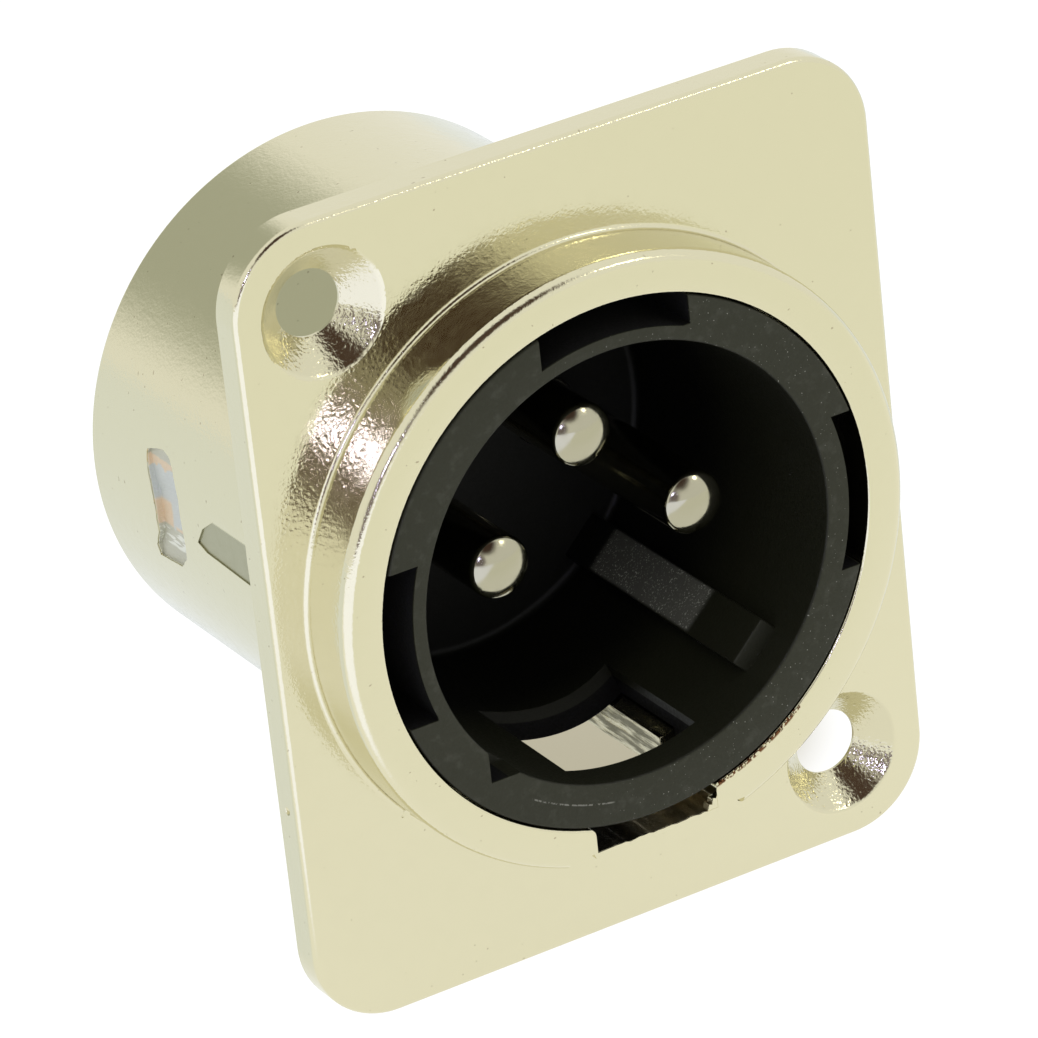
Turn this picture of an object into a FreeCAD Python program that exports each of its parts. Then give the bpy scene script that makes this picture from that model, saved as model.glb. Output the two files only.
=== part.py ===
import FreeCAD, Part
import math
import os
import Sketcher

# Three-pin male audio panel socket with a rectangular two-screw flange.
#
# Frame: the origin is the centre of the bore on the flange's rear seating face. -Y is the mating
# side, +Y runs back along the body through the panel, +X is to the right and +Z is up.
# Pin 3 is at the top and the latch window at the bottom. All lengths are millimetres.

doc = FreeCAD.newDocument("panel_socket")
sheet = doc.addObject("Spreadsheet::Sheet", "Sizes")

sizes = {
    # Housing sizes
    "flange_width": 26.0,  # flange, side to side
    "flange_height": 31.0,  # flange, bottom to top
    "flange_thickness": 1.25,  # flange, front to rear
    "flange_corner": 3.2,  # radius of the flange's four corners
    "flange_edge": 0.2,  # broken edge round the flange's front
    "boss_diameter": 23.1,  # raised collar round the mouth
    "boss_height": 2.6,  # collar above the flange's front
    "boss_edge": 0.2,  # broken front edge of the collar
    "boss_root": 0.18,  # small slope at the collar's root
    "mouth_diameter": 20.1,  # front bore that seats the insert's rim
    "mouth_depth": 3.0,  # depth of the front bore
    "tube_diameter": 21.1,  # body behind the flange
    "tube_bore": 18.4,  # bore of the body
    "tube_length": 16.65,  # body behind the seating face
    "tube_edge": 0.2,  # chamfer of the body's rear edge
    "lock_bore": 19.6,  # rear bore that the bayonet lugs lock in
    "lock_depth": 1.6,  # depth of the rear bore
    "screw_inset": 3.5,  # screw hole to the flange's edges, sideways and upwards
    "screw_hole": 3.1,  # screw clearance hole
    "countersink": 4.7,  # countersink at the flange's front
    "notch_width": 5.1,  # latch notch through the collar
    "notch_flat": 10.68,  # axis to the flat under the collar's notch
    "notch_round": 0.35,  # rounding where the notch's sides meet the mouth
    "relief_width": 7.4,  # latch relief through the flange
    "relief_reach": 12.1,  # axis to the relief's lower side
    "port_width": 4.32,  # latch window through the body's wall
    "port_end": 5.75,  # seating face to the window's rear end
    "entry_width": 5.6,  # entry slots for the bayonet lugs
    "pad_length": 2.9,  # flat ejector pad on the body's side, along the axis
    "pad_width": 1.8,  # flat ejector pad, across the axis
    "pad_start": 5.05,  # seating face to the pad
    "pad_lift": 0.36,  # axis up to the pad's middle
    "pad_sink": 0.14,  # depth of the pad's floor below the body's side
    "gate_start": 10.1,  # seating face to the pit where the casting gate broke off
    "gate_length": 2.1,  # gate's pit, along the axis
    "gate_top": 2.4,  # gate's pit, from the axis up
    "gate_shoulder": 1.08,  # gate's pit, from the axis down to where it narrows
    "gate_bottom": 1.8,  # gate's pit, from the axis down to its pointed end
    "gate_sink": 0.45,  # depth of the gate's pit
    "gate_slit": 0.35,  # open slit in the pit in front of the gate's stub
    "gate_stub": 0.3,  # height of the gate's stub in the pit
    "stub_top": 1.8,  # gate's stub, from the axis up

    # Insert sizes
    "fit_gap": 0.05,  # radial gap between the insert's rim and the mouth
    "seat_gap": 0.02,  # gap between faces that seat on each other
    "cup_gap": 0.1,  # radial gap between the cup and the body's bore
    "cup_wall": 0.8,  # wall of the insert's cup
    "cup_depth": 12.9,  # mouth to the cup's floor
    "base_thickness": 4.0,  # floor that holds the pins
    "rim_gap_width": 6.1,  # three gaps in the insert's rim
    "rim_edge": 0.12,  # broken inner edge of the rim
    "corner_side": 6.5,  # axis to the side of the rim's corner relief
    "corner_floor": 6.4,  # axis to the floor of the rim's corner relief
    "corner_depth": 1.3,  # depth of the rim's corner relief
    "latch_width": 5.5,  # latch window in the cup's wall
    "latch_start": 1.4,  # mouth to the latch window's front end
    "latch_length": 5.6,  # latch window along the cup's inside
    "latch_slope": 0.9,  # how far the window's rear wall leans forward
    "key_width": 1.93,  # polarising key in the cup
    "key_height": 0.85,  # key above the cup's wall
    "key_setback": 1.3,  # mouth to the key's front end
    "key_angle": 46.0,  # key below the horizontal, in degrees
    "skirt_wall": 1.3,  # wall of the insert's rear skirt
    "skirt_setback": 0.3,  # skirt's end inside the body's rear end
    "lug_gap": 0.1,  # radial gap outside the bayonet lugs
    "lug_width": 5.0,  # bayonet lugs, side to side
    "lug_thickness": 1.1,  # bayonet lugs, front to rear

    # Pin sizes
    "pin_diameter": 2.4,  # contact pins
    "pin_circle": 4.0,  # axis of each pin to the bore's axis
    "pin_setback": 1.4,  # mouth to the pins' tips
    "pin_dome": 0.46,  # height of the low dome on a pin's tip
    "pin_round": 0.3,  # rounding between the dome and the pin's side
    "pin_gap": 0.02,  # radial gap between a pin and the insert
    "seat_diameter": 3.0,  # pin where it passes through the insert's floor
    "shoulder_diameter": 3.6,  # pin's shoulder in the insert's base
    "shoulder_length": 1.2,  # pin's shoulder along the axis
    "cup_outer": 3.0,  # solder cup, outside
    "cup_inner": 2.1,  # solder cup, inside
    "cup_length": 8.2,  # solder cup behind the base
    "cup_well": 5.0,  # depth of the solder cup's well
    "cup_cutaway": 4.0,  # length of the cup's open side

    # Ground contact sizes
    "strip_thickness": 0.4,  # ground contact's sheet
    "strip_width": 3.0,  # ground contact, side to side
    "strip_front": 9.95,  # seating face to the contact's front end
    "strip_bow": 0.35,  # how far the contact's spring stands out
    "bow_start": 1.9,  # contact's front end to its spring
    "bow_ramp": 1.3,  # each slope of the spring, along the axis
    "bow_flat": 0.4,  # flat top of the spring, along the axis
    "strip_gap": 0.06,  # gap round the contact in its groove
    "tag_length": 5.4,  # solder tag behind the body
    "tag_hole": 1.3,  # hole in the solder tag
    "tag_corner": 1.0,  # corner radius of the solder tag
}


class Size:
    """A length with its value now and the expression that gives it."""

    def __init__(self, value, text):
        self.value = float(value)
        self.text = text

    def joined(self, sign, other, value):
        return Size(value, "(%s %s %s)" % (self.text, sign, other.text))

    def __add__(self, other):
        other = as_size(other)
        return self.joined("+", other, self.value + other.value)

    def __sub__(self, other):
        other = as_size(other)
        return self.joined("-", other, self.value - other.value)

    def __mul__(self, other):
        other = as_size(other)
        return self.joined("*", other, self.value * other.value)

    def __truediv__(self, other):
        other = as_size(other)
        return self.joined("/", other, self.value / other.value)

    def __neg__(self):
        return Size(-self.value, "(-1 * %s)" % self.text)


def as_size(number):
    if isinstance(number, Size):
        return number
    return Size(number, repr(float(number)))


def root(size):
    return Size(math.sqrt(size.value), "sqrt(%s)" % size.text)


def rim_height(radius, half_width):
    """Height of a circle's rim above a chord's end, half_width to one side of the axis."""
    return root(radius * radius - half_width * half_width)


ZERO = as_size(0)


class Table:
    """Gives each driving size by its alias in the sheet."""

    def __getattr__(self, alias):
        return Size(sizes[alias], "Sizes." + alias)


s = Table()
for row, (alias, value) in enumerate(sizes.items(), start=1):
    sheet.set("A%d" % row, alias)
    sheet.set("B%d" % row, repr(value))
    sheet.setAlias("B%d" % row, alias)

# Places along the axis, worked out from the sizes above
flange_front = -s.flange_thickness
mouth = -(s.flange_thickness + s.boss_height)
mouth_floor = mouth + s.mouth_depth
lock_step = s.tube_length - s.lock_depth
cup_floor = mouth + s.cup_depth
base_rear = cup_floor + s.base_thickness
skirt_end = s.tube_length - s.skirt_setback
pin_tip = mouth + s.pin_setback
shoulder_front = base_rear - s.shoulder_length
solder_end = base_rear + s.cup_length

# Radii, worked out from the sizes above
boss_radius = s.boss_diameter / 2
mouth_radius = s.mouth_diameter / 2
tube_radius = s.tube_diameter / 2
tube_bore_radius = s.tube_bore / 2
lock_radius = s.lock_bore / 2
rim_radius = mouth_radius - s.fit_gap
cup_radius = tube_bore_radius - s.cup_gap
cup_bore_radius = cup_radius - s.cup_wall
skirt_bore_radius = cup_radius - s.skirt_wall
lug_radius = lock_radius - s.lug_gap
pin_radius = s.pin_diameter / 2

# How far a cutting shape runs past the solid it cuts
PAST = as_size(1)


def vector(x, y, z=0.0):
    return FreeCAD.Vector(x, y, z)


# Building blocks: bodies, sketches and features whose sizes are bound to the sheet

def new_body(label):
    body = doc.addObject("PartDesign::Body", "Body_" + label)
    body.Label = label
    return body


def new_sketch(body, name, role, offset=ZERO):
    """Add a sketch on one of the body's own origin planes, moved along the plane's normal."""
    plane = [item for item in body.Origin.OriginFeatures if item.Role == role][0]
    sketch = body.newObject("Sketcher::SketchObject", name)
    sketch.AttachmentSupport = [(plane, "")]
    sketch.MapMode = "FlatFace"
    sketch.setExpression("AttachmentOffset.Base.z", offset.text)
    return sketch


def cross_sketch(body, name, y):
    """A sketch across the axis at y. Its own x is X and its own y is Z."""
    return new_sketch(body, name, "XZ_Plane", -y)


def section_sketch(body, name):
    """A sketch in the lengthwise plane. Its own x is X and its own y is Y."""
    return new_sketch(body, name, "XY_Plane")


def bind(sketch, kind, element, point, size):
    """Tie one coordinate of a sketch point to a size."""
    if size is ZERO:
        axis = -2 if kind == "DistanceX" else -1
        sketch.addConstraint(Sketcher.Constraint("PointOnObject", element, point, axis))
        return
    limit = Sketcher.Constraint(kind, -1, 1, element, point, size.value)
    index = sketch.addConstraint(limit)
    sketch.setExpression("Constraints[%d]" % index, size.text)


def add_polygon(sketch, corners, domed=False):
    """Add a closed outline. Where it is domed, its first side is an arc that is centred on the axis."""
    first = sketch.GeometryCount
    count = len(corners)
    for i, (x, y) in enumerate(corners):
        next_x, next_y = corners[(i + 1) % count]
        if domed and i == 0:
            rise = next_y.value - y.value
            radius = (next_x.value ** 2 + rise ** 2) / (2 * rise)
            circle = Part.Circle(vector(0, y.value + radius), vector(0, 0, 1), radius)
            edge = Part.ArcOfCircle(circle, -math.pi / 2, math.atan2(rise - radius, next_x.value))
        else:
            edge = Part.LineSegment(vector(x.value, y.value), vector(next_x.value, next_y.value))
        sketch.addGeometry(edge, False)
    for i in range(count):
        following = first + (i + 1) % count
        sketch.addConstraint(Sketcher.Constraint("Coincident", first + i, 2, following, 1))
    for i, (x, y) in enumerate(corners):
        bind(sketch, "DistanceX", first + i, 1, x)
        bind(sketch, "DistanceY", first + i, 1, y)
    if domed:
        bind(sketch, "DistanceX", first, 3, ZERO)


def add_rectangle(sketch, left, right, low, high):
    add_polygon(sketch, [(left, low), (right, low), (right, high), (left, high)])


def add_circle(sketch, x, y, radius):
    centre = vector(x.value, y.value)
    index = sketch.addGeometry(Part.Circle(centre, vector(0, 0, 1), radius.value), False)
    bind(sketch, "DistanceX", index, 3, x)
    bind(sketch, "DistanceY", index, 3, y)
    limit = sketch.addConstraint(Sketcher.Constraint("Radius", index, radius.value))
    sketch.setExpression("Constraints[%d]" % limit, radius.text)


def feature(body, kind, name, sketch, length=None, midplane=False, flip=False):
    """Pad or pocket a sketch, by a length that is bound to the sheet."""
    item = body.newObject("PartDesign::" + kind, name)
    item.Profile = sketch
    if length is not None:
        item.setExpression("Length", length.text)
    item.SideType = "Symmetric" if midplane else "One side"
    item.Reversed = flip
    sketch.Visibility = False
    doc.recompute()
    return item


def turned(body, kind, name, sketch):
    """Revolve or groove a section about the bore's axis."""
    item = body.newObject("PartDesign::" + kind, name)
    item.Profile = sketch
    item.ReferenceAxis = (sketch, ["V_Axis"])
    item.Angle = 360.0
    doc.recompute()
    return item


def repeated(body, name, original, sketch, count, sweep):
    """Repeat a feature about the bore's axis."""
    pattern = body.newObject("PartDesign::PolarPattern", name)
    pattern.Originals = [original]
    pattern.Axis = (sketch, ["N_Axis"])
    pattern.Angle = sweep
    pattern.Occurrences = count
    body.Tip = pattern
    doc.recompute()
    return pattern


def dressed(body, kind, name, test, size):
    """Fillet or chamfer the edges of the body's last feature that pass a test."""
    base = body.Tip
    edges = ["Edge%d" % (i + 1) for i, edge in enumerate(base.Shape.Edges) if test(edge)]
    if not edges:
        raise RuntimeError("no edge to dress for " + name)
    item = body.newObject("PartDesign::" + kind, name)
    item.Base = (base, edges)
    item.setExpression("Radius" if kind == "Fillet" else "Size", size.text)
    doc.recompute()
    return item


def rounded(body, name, test, radius):
    return dressed(body, "Fillet", name, test, radius)


def chamfered(body, name, test, size):
    return dressed(body, "Chamfer", name, test, size)


TOLERANCE = 1e-4


def close(a, b):
    return abs(a - b) < TOLERANCE


def is_circle(edge, radius, y):
    """True for an edge that lies on a circle about the body's own axis. A dome's pole is no circle."""
    if edge.Degenerated:
        return False
    curve = edge.Curve
    if not isinstance(curve, Part.Circle):
        return False
    centred = math.hypot(curve.Center.x, curve.Center.z) < TOLERANCE
    return centred and close(curve.Radius, radius.value) and close(curve.Center.y, y.value)


def is_along_y(edge, half_x, half_z):
    """True for a straight edge along Y at the given distances from the axis."""
    box = edge.BoundBox
    straight = box.XLength < TOLERANCE and box.ZLength < TOLERANCE
    return straight and close(abs(box.XMin), half_x.value) and close(abs(box.ZMin), half_z.value)


# Housing: one zinc casting, from the flange to the body's rear end

def make_housing():
    body = new_body("housing")

    plate = cross_sketch(body, "flange_outline", ZERO)
    half_width = s.flange_width / 2
    half_height = s.flange_height / 2
    add_rectangle(plate, -half_width, half_width, -half_height, half_height)
    feature(body, "Pad", "flange", plate, s.flange_thickness)
    rounded(body, "flange_corners", lambda edge: is_along_y(edge, half_width, half_height), s.flange_corner)

    def on_front_outline(edge):
        box = edge.BoundBox
        return box.YLength < TOLERANCE and close(box.YMin, flange_front.value)

    chamfered(body, "flange_front_edge", on_front_outline, s.flange_edge)

    inside_flange = -s.flange_thickness / 2
    shell = section_sketch(body, "shell_section")
    add_polygon(shell, [
        (ZERO, mouth),
        (boss_radius, mouth),
        (boss_radius, flange_front - s.boss_root),
        (boss_radius + s.boss_root, flange_front),
        (boss_radius + s.boss_root, inside_flange),
        (tube_radius, inside_flange),
        (tube_radius, s.tube_length),
        (ZERO, s.tube_length),
    ])
    turned(body, "Revolution", "shell", shell)
    chamfered(body, "collar_edge", lambda edge: is_circle(edge, boss_radius, mouth), s.boss_edge)
    chamfered(body, "tube_rear_edge", lambda edge: is_circle(edge, tube_radius, s.tube_length), s.tube_edge)

    bore = section_sketch(body, "bore_section")
    add_polygon(bore, [
        (ZERO, mouth - PAST),
        (mouth_radius, mouth - PAST),
        (mouth_radius, mouth_floor),
        (tube_bore_radius, mouth_floor),
        (tube_bore_radius, lock_step),
        (lock_radius, lock_step),
        (lock_radius, s.tube_length + PAST),
        (ZERO, s.tube_length + PAST),
    ])
    turned(body, "Groove", "bore", bore)

    # The latch of the mating plug sits in a stepped relief at the bottom of the mouth
    relief = cross_sketch(body, "relief_outline", mouth - PAST)
    half_relief = s.relief_width / 2
    add_rectangle(relief, -half_relief, half_relief, -s.relief_reach, -s.notch_flat)
    feature(body, "Pocket", "latch_relief", relief, s.flange_thickness + s.boss_height + PAST * 2)

    notch = cross_sketch(body, "notch_outline", mouth - PAST)
    half_notch = s.notch_width / 2
    add_rectangle(notch, -half_notch, half_notch, -(s.notch_flat + PAST / 2), -tube_bore_radius)
    feature(body, "Pocket", "latch_notch", notch, s.mouth_depth + PAST)
    notch_corner = rim_height(mouth_radius, half_notch)
    rounded(body, "notch_corners", lambda edge: is_along_y(edge, half_notch, notch_corner), s.notch_round)

    port = cross_sketch(body, "port_outline", mouth_floor)
    half_port = s.port_width / 2
    add_rectangle(port, -half_port, half_port, -s.relief_reach, -(tube_bore_radius - PAST))
    feature(body, "Pocket", "latch_port", port, s.port_end - mouth_floor)

    # Entry slots let the insert's bayonet lugs pass down the bore before it is turned
    entry = cross_sketch(body, "entry_outline", mouth_floor - PAST / 2)
    half_entry = s.entry_width / 2
    add_rectangle(entry, -half_entry, half_entry, tube_bore_radius - PAST, lock_radius)
    slot = feature(body, "Pocket", "entry_slot", entry, lock_step - mouth_floor + PAST)
    repeated(body, "entry_slots", slot, entry, 3, 360.0)

    # Countersunk screw holes on one diagonal of the flange
    holes = cross_sketch(body, "screw_places", flange_front)
    screw_x = half_width - s.screw_inset
    screw_z = half_height - s.screw_inset
    for side in (-1, 1):
        add_circle(holes, screw_x * side, screw_z * -side, s.screw_hole / 2)
    hole = body.newObject("PartDesign::Hole", "screw_holes")
    hole.Profile = holes
    doc.recompute()
    hole.DepthType = "ThroughAll"
    hole.setExpression("Diameter", s.screw_hole.text)
    hole.HoleCutType = "Countersink"
    hole.HoleCutCustomValues = True
    hole.setExpression("HoleCutDiameter", s.countersink.text)
    hole.HoleCutCountersinkAngle = 90.0
    doc.recompute()

    # Marks that the casting keeps on its left side: a flat ejector pad, and the pit of its gate
    pad = new_sketch(body, "pad_outline", "YZ_Plane", -tube_radius - PAST)
    half_pad = s.pad_width / 2
    add_rectangle(pad, s.pad_start, s.pad_start + s.pad_length, s.pad_lift - half_pad, s.pad_lift + half_pad)
    feature(body, "Pocket", "ejector_pad", pad, s.pad_sink + PAST, flip=True)

    pit = new_sketch(body, "gate_outline", "YZ_Plane", -tube_radius - PAST)
    pit_front = s.gate_start
    pit_rear = s.gate_start + s.gate_length
    pit_middle = s.gate_start + s.gate_length / 2
    add_polygon(pit, [
        (pit_front, s.gate_top),
        (pit_rear, s.gate_top),
        (pit_rear, -s.gate_shoulder),
        (pit_middle, -s.gate_bottom),
        (pit_front, -s.gate_shoulder),
    ])
    feature(body, "Pocket", "gate_pit", pit, s.gate_sink + PAST, flip=True)
    stub = new_sketch(body, "gate_stub_outline", "YZ_Plane", -tube_radius + s.gate_sink - s.gate_stub)
    add_rectangle(stub, pit_front + s.gate_slit, pit_rear, -s.gate_shoulder, s.stub_top)
    feature(body, "Pad", "gate_stub", stub, s.gate_stub + (tube_radius - tube_bore_radius) / 4)
    return body


# Insert: one black moulding with the cup, the key, the latch window and the bayonet lugs

def make_insert():
    body = new_body("insert")

    rim = cross_sketch(body, "rim_outline", mouth)
    add_circle(rim, ZERO, ZERO, rim_radius)
    add_circle(rim, ZERO, ZERO, cup_bore_radius)
    feature(body, "Pad", "rim", rim, s.mouth_depth - s.seat_gap, flip=True)

    gap = cross_sketch(body, "rim_gap_outline", mouth - PAST)
    half_gap = s.rim_gap_width / 2
    add_rectangle(gap, cup_bore_radius - PAST, rim_radius + PAST, -half_gap, half_gap)
    cut = feature(body, "Pocket", "rim_gap", gap, s.mouth_depth + PAST * 2)
    repeated(body, "rim_gaps", cut, gap, 3, 180.0)

    cup = section_sketch(body, "cup_section")
    add_polygon(cup, [
        (cup_bore_radius, mouth),
        (cup_radius, mouth),
        (cup_radius, skirt_end),
        (skirt_bore_radius, skirt_end),
        (skirt_bore_radius, base_rear),
        (ZERO, base_rear),
        (ZERO, cup_floor),
        (cup_bore_radius, cup_floor),
    ])
    turned(body, "Revolution", "cup", cup)
    chamfered(body, "rim_inner_edge", lambda edge: is_circle(edge, cup_bore_radius, mouth), s.rim_edge)

    # A square corner cut into the rim's inner edge at the lower left
    corner = cross_sketch(body, "corner_relief_outline", mouth - PAST)
    inside = cup_bore_radius / 2
    add_rectangle(corner, -s.corner_side, -inside, -s.corner_floor, -inside)
    feature(body, "Pocket", "corner_relief", corner, s.corner_depth + PAST)

    # The key's sides are parallel, and its root is sunk into the wall
    key = cross_sketch(body, "key_outline", mouth + s.key_setback)
    key.setExpression("AttachmentOffset.Rotation.Angle", s.key_angle.text)
    key.setExpression("AttachmentOffset.Rotation.Axis.z", "-1")
    half_key = s.key_width / 2
    key_root = cup_bore_radius + s.cup_wall / 2
    add_rectangle(key, cup_bore_radius - s.key_height, key_root, -half_key, half_key)
    feature(body, "Pad", "key", key, s.cup_depth - s.key_setback + s.base_thickness / 2, flip=True)

    # Latch window, with a rear wall that leans forward on its way out
    latch = new_sketch(body, "latch_outline", "YZ_Plane")
    front = mouth + s.latch_start
    rear = front + s.latch_length
    lean = s.latch_slope / s.cup_wall
    add_polygon(latch, [
        (front, -(cup_bore_radius - PAST)),
        (rear + lean * PAST, -(cup_bore_radius - PAST)),
        (rear - s.latch_slope, -cup_radius),
        (rear - s.latch_slope, -(rim_radius + PAST)),
        (front, -(rim_radius + PAST)),
    ])
    feature(body, "Pocket", "latch_window", latch, s.latch_width, midplane=True)

    # Bayonet lugs that lock behind the step in the housing's rear bore, half a pitch from the slots
    lug = cross_sketch(body, "lug_outline", lock_step + s.seat_gap)
    half_lug = s.lug_width / 2
    lug_tip = rim_height(lug_radius, half_lug)
    add_rectangle(lug, -half_lug, half_lug, -lug_tip, -(cup_radius - s.cup_wall))
    lock = feature(body, "Pad", "lug", lug, s.lug_thickness, flip=True)
    repeated(body, "lugs", lock, lug, 3, 360.0)

    # Seats for the three pins
    for index, (x, z) in enumerate(pin_places):
        seat = cross_sketch(body, "pin_hole_%d" % (index + 1), cup_floor - PAST)
        add_circle(seat, x, z, s.seat_diameter / 2 + s.pin_gap)
        feature(body, "Pocket", "pin_bore_%d" % (index + 1), seat, s.base_thickness + PAST * 2)
        ledge = cross_sketch(body, "shoulder_hole_%d" % (index + 1), shoulder_front - s.seat_gap)
        add_circle(ledge, x, z, s.shoulder_diameter / 2 + s.pin_gap)
        feature(body, "Pocket", "shoulder_seat_%d" % (index + 1), ledge, s.shoulder_length + PAST)

    # Groove for the ground contact, open at the rear
    groove = section_sketch(body, "ground_groove_outline")
    floor = strip_inside - s.strip_gap
    add_rectangle(groove, floor, cup_radius + PAST, s.strip_front - s.strip_gap, skirt_end + PAST)
    feature(body, "Pocket", "ground_groove", groove, s.strip_width + s.strip_gap * 2, midplane=True)
    return body


pin_places = [(s.pin_circle, ZERO), (-s.pin_circle, ZERO), (ZERO, s.pin_circle)]


# Pin: turned brass with a domed tip, a shoulder and a solder cup

def make_pin(number, x, z):
    body = new_body("pin_%d" % number)
    profile = section_sketch(body, "pin_%d_section" % number)
    add_polygon(profile, [
        (ZERO, pin_tip),
        (pin_radius, pin_tip + s.pin_dome),
        (pin_radius, cup_floor),
        (s.seat_diameter / 2, cup_floor),
        (s.seat_diameter / 2, shoulder_front),
        (s.shoulder_diameter / 2, shoulder_front),
        (s.shoulder_diameter / 2, base_rear),
        (s.cup_outer / 2, base_rear),
        (s.cup_outer / 2, solder_end),
        (ZERO, solder_end),
    ], domed=True)
    turned(body, "Revolution", "pin_%d_blank" % number, profile)
    dome_rim = pin_tip + s.pin_dome
    rounded(body, "pin_%d_tip" % number, lambda edge: is_circle(edge, pin_radius, dome_rim), s.pin_round)

    well = cross_sketch(body, "pin_%d_well_outline" % number, solder_end - s.cup_well)
    add_circle(well, ZERO, ZERO, s.cup_inner / 2)
    feature(body, "Pocket", "pin_%d_well" % number, well, s.cup_well + PAST)

    side = section_sketch(body, "pin_%d_cutaway_outline" % number)
    edge = s.cup_outer / 2 + PAST
    add_rectangle(side, -edge, edge, solder_end - s.cup_cutaway, solder_end + PAST)
    feature(body, "Pocket", "pin_%d_cutaway" % number, side, edge, flip=True)
    body.setExpression("Placement.Base.x", x.text)
    body.setExpression("Placement.Base.z", z.text)
    return body


# Ground contact: bent sheet between the insert and the body's bore, with a solder tag

strip_outside = rim_height(tube_bore_radius, s.strip_width / 2) - s.strip_gap
strip_inside = strip_outside - s.strip_bow - s.strip_thickness


def make_ground_contact():
    body = new_body("ground_contact")
    rear = s.tube_length + s.tag_length
    rise = s.strip_front + s.bow_start
    crest = rise + s.bow_ramp
    crest_end = crest + s.bow_flat
    fall = crest_end + s.bow_ramp
    outer = strip_inside + s.strip_thickness
    section = section_sketch(body, "strip_section")
    add_polygon(section, [
        (strip_inside, s.strip_front),
        (outer, s.strip_front),
        (outer, rise),
        (strip_outside, crest),
        (strip_outside, crest_end),
        (outer, fall),
        (outer, rear),
        (strip_inside, rear),
        (strip_inside, fall),
        (strip_inside + s.strip_bow, crest_end),
        (strip_inside + s.strip_bow, crest),
        (strip_inside, rise),
    ])
    feature(body, "Pad", "strip", section, s.strip_width, midplane=True)

    def tag_corner_edge(edge):
        box = edge.BoundBox
        return box.YLength < TOLERANCE and box.ZLength < TOLERANCE and close(box.YMin, rear.value)

    rounded(body, "tag_corners", tag_corner_edge, s.tag_corner)
    eye = new_sketch(body, "tag_eye", "YZ_Plane", strip_inside - PAST)
    add_circle(eye, rear - s.strip_width / 2, ZERO, s.tag_hole / 2)
    feature(body, "Pocket", "tag_hole_cut", eye, s.strip_thickness + PAST * 2, flip=True)
    return body


bodies = [make_housing(), make_insert()]
for number, (pin_x, pin_z) in enumerate(pin_places, start=1):
    bodies.append(make_pin(number, pin_x, pin_z))
bodies.append(make_ground_contact())
doc.recompute()

# Nothing is written unless every object is sound
for item in doc.Objects:
    if "Invalid" in item.State or "Error" in item.State:
        raise RuntimeError("%s is %s" % (item.Label, item.State))
for body in bodies:
    shape = body.Shape
    if shape.isNull() or not shape.isValid() or len(shape.Solids) != 1:
        raise RuntimeError("%s has no sound single solid" % body.Label)

os.makedirs("parts", exist_ok=True)
for body in bodies:
    body.Shape.exportStep("parts/%s.step" % body.Label)
    print("%-16s %9.3f mm3" % (body.Label, body.Shape.Volume))
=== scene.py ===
import math
import random

import bpy
from bpy.props import FloatProperty, FloatVectorProperty, PointerProperty
from mathutils import Matrix, Vector


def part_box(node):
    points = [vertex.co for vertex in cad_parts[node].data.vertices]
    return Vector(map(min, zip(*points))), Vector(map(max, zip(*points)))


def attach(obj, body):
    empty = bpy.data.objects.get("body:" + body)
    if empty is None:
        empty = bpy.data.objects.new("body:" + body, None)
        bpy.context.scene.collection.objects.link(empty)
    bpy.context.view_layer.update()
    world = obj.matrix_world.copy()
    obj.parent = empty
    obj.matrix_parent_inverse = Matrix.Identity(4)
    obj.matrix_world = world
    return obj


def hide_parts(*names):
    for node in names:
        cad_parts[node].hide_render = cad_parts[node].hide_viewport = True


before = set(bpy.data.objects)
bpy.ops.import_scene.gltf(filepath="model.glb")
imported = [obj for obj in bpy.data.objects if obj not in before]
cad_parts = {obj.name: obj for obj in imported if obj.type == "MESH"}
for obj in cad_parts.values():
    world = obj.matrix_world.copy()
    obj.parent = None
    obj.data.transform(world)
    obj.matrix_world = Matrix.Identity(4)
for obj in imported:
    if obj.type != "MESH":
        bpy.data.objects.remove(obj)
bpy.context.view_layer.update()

bl_info = {
    "name": "Three-Pin Panel Socket",
    "version": (1, 0, 0),
    "blender": (4, 5, 0),
    "location": "3D View > Sidebar > Socket",
    "description": "Plated housing, black insert, contact pins and ground contact of a panel socket",
    "category": "Add Mesh",
}

MM = 0.001
MERGE_DISTANCE = 0.0005 * MM
SMOOTH_ANGLE = math.radians(32)
LATHE_STEPS = 192

# How far a cutter reaches past the faces that it opens
PAST = 1.0 * MM

# Play between two pieces, as in the CAD
PLAY = 0.02 * MM

# Turns, in degrees, of what stands at thirds round the axis
THIRDS = (0, 120, 240)


# Sizes and colours


def length(label, description, millimetres):
    """A length property, given in millimetres and kept in metres."""
    return FloatProperty(
        name=label, description=description, default=millimetres * MM, unit="LENGTH", precision=5
    )


def colour(label, description, value):
    """A colour property."""
    return FloatVectorProperty(
        name=label, description=description, default=value, size=3, subtype="COLOR", min=0, max=1
    )


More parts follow.
